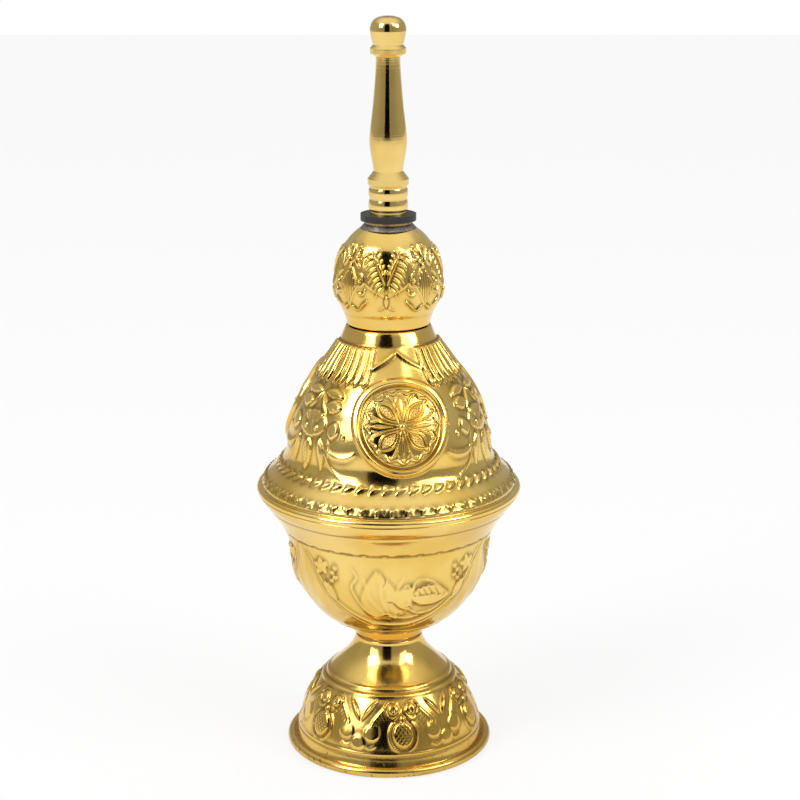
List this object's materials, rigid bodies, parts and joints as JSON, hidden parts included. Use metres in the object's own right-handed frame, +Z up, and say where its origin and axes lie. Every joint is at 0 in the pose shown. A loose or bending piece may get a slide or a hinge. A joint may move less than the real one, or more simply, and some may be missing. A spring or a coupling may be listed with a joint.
{
  "type": "holy water sprinkler",
  "caption": "Footed brass holy water sprinkler with an embossed bowl and dome, a round neck bulb and a slim perforated stem that unscrews from a rubber washer for filling.",
  "frame": {"origin": "centre of the foot on the surface it stands on", "axes": "+Z up along the vessel's axis, -Y towards the viewer of the picture, +X to the viewer's right"},
  "size_m": [0.0912, 0.0912, 0.254],
  "materials": {
    "gold_brass": "polished gold-plated, embossed",
    "plain_brass": "turned, tarnished",
    "steel": "drawn wire and spring steel",
    "solder": "dull grey soft solder",
    "rubber": "matte black"
  },
  "bodies": {
    "vessel": {"foot_shell": "gold_brass", "foot_rim_wire": "steel", "foot_screw": "plain_brass", "screw_solder": "solder", "foot_washer": "plain_brass", "foot_lock_washer": "steel", "foot_nut": "plain_brass", "bowl_shell": "gold_brass", "rim_solder": "solder", "dome_shell": "gold_brass", "flange_rim_wire": "steel", "waist_solder": "solder", "neck_bulb": "gold_brass", "neck_bush": "plain_brass", "neck_solder": "solder"},
    "washer": {"seal_washer": "rubber"},
    "stem": {"stem_ferrule": "gold_brass", "stem_tube": "gold_brass", "spray_head": "gold_brass", "spray_plate": "gold_brass"}
  },
  "joints": [
    {"name": "stem_rise", "type": "slide", "parent": "vessel", "child": "washer", "axis": [0, 0, 1], "range_m": [0, 0.0075]},
    {"name": "stem_unscrew", "type": "hinge", "parent": "washer", "child": "stem", "pos_m": [0, 0, 0.18915], "axis": [0, 0, 1], "range_deg": [0, 1800]}
  ],
  "couplings": [
    {"joint": "stem_unscrew", "follows": "stem_rise", "rad_per_m": 4188.8}
  ]
}
